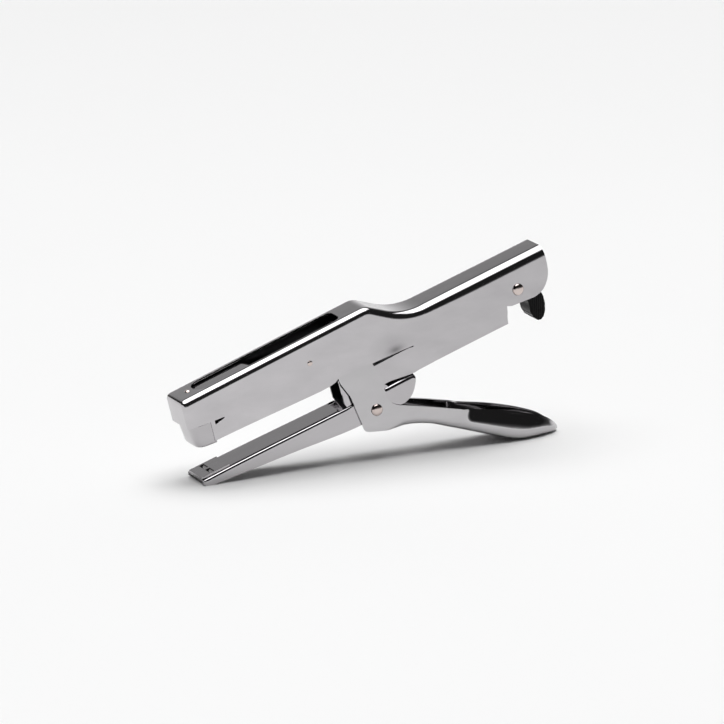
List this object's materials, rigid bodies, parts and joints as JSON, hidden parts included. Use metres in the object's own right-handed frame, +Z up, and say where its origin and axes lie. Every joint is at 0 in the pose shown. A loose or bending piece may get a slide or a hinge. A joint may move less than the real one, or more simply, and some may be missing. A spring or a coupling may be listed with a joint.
{
  "type": "plier stapler",
  "caption": "Hand-held plier stapler in pressed sheet steel, with a hinged anvil arm, a squeeze handle, a long staple magazine and a black latch.",
  "frame": {"origin": "centre of the bounding box in X and Y, on the plane that the tool stands on", "axes": "+X from the nose toward the handles' ends, +Y across the width, +Z up as the tool stands on its anvil tip and lower handle"},
  "size_m": [0.1761, 0.02, 0.0822],
  "materials": {
    "chromed_sheet": "polished",
    "inner_steel": "satin",
    "rivet_nickel": "polished",
    "spring_steel": "satin",
    "staple_wire": "satin",
    "latch_black": "gloss"
  },
  "bodies": {
    "body": {"upper_body": "chromed_sheet", "nose_guide": "chromed_sheet", "magazine": "inner_steel", "core_rail": "inner_steel", "staple_strip": "staple_wire", "spring_seat": "inner_steel", "pusher_rod": "inner_steel", "rear_rivet": "rivet_nickel", "head_rivets": "rivet_nickel", "nose_rivet": "rivet_nickel", "driver_pin": "inner_steel", "driver_spring": "spring_steel", "pusher_spring": "spring_steel"},
    "pusher_body": {"pusher": "inner_steel"},
    "driver_lever_body": {"driver_lever": "chromed_sheet"},
    "blade_body": {"driver_blade": "inner_steel"},
    "arm_body": {"anvil_arm": "chromed_sheet", "anvil_plate": "chromed_sheet", "main_rivet": "rivet_nickel", "spacer_bush": "inner_steel", "handle_spring": "spring_steel"},
    "handle_body": {"lower_handle": "chromed_sheet", "squeeze_pin": "inner_steel", "squeeze_roller": "inner_steel"},
    "latch_body": {"latch": "latch_black"}
  },
  "joints": [
    {"name": "squeeze", "type": "hinge", "parent": "arm_body", "child": "handle_body", "pos_m": [-0.0001, 0, 0.022], "axis": [0, -1, 0], "range_deg": [0, 33], "stiffness_Nm_per_rad": 1.4, "springref_deg": -17.19, "deforming": ["handle_spring"]},
    {"name": "jaw", "type": "hinge", "parent": "body", "child": "arm_body", "pos_m": [0.0152, 0, 0.0344], "axis": [0, 1, 0], "range_deg": [0, 7.4]},
    {"name": "driver_swing", "type": "hinge", "parent": "body", "child": "driver_lever_body", "pos_m": [0.00286, 0, 0.05623], "axis": [0, -1, 0], "range_deg": [0, 5.74], "deforming": ["driver_spring"]},
    {"name": "blade_slide", "type": "slide", "parent": "body", "child": "blade_body", "axis": [0.3007, 0, -0.9537], "range_m": [0, 0.0088]},
    {"name": "pusher_slide", "type": "slide", "parent": "body", "child": "pusher_body", "axis": [0.9537, 0, 0.3007], "range_m": [0, 0.06], "stiffness_N_per_m": 60, "springref_m": -0.04, "deforming": ["pusher_spring"]},
    {"name": "latch_swing", "type": "hinge", "parent": "body", "child": "latch_body", "pos_m": [0.06422, 0, 0.06538], "axis": [0, 1, 0], "range_deg": [0, 18], "stiffness_Nm_per_rad": 0.1, "springref_deg": -17.19}
  ],
  "couplings": [
    {"joint": "jaw", "follows": "squeeze", "ratio": 0.22424},
    {"joint": "driver_swing", "follows": "squeeze", "ratio": 0.17391},
    {"joint": "blade_slide", "follows": "squeeze", "m_per_rad": 0.015279}
  ]
}
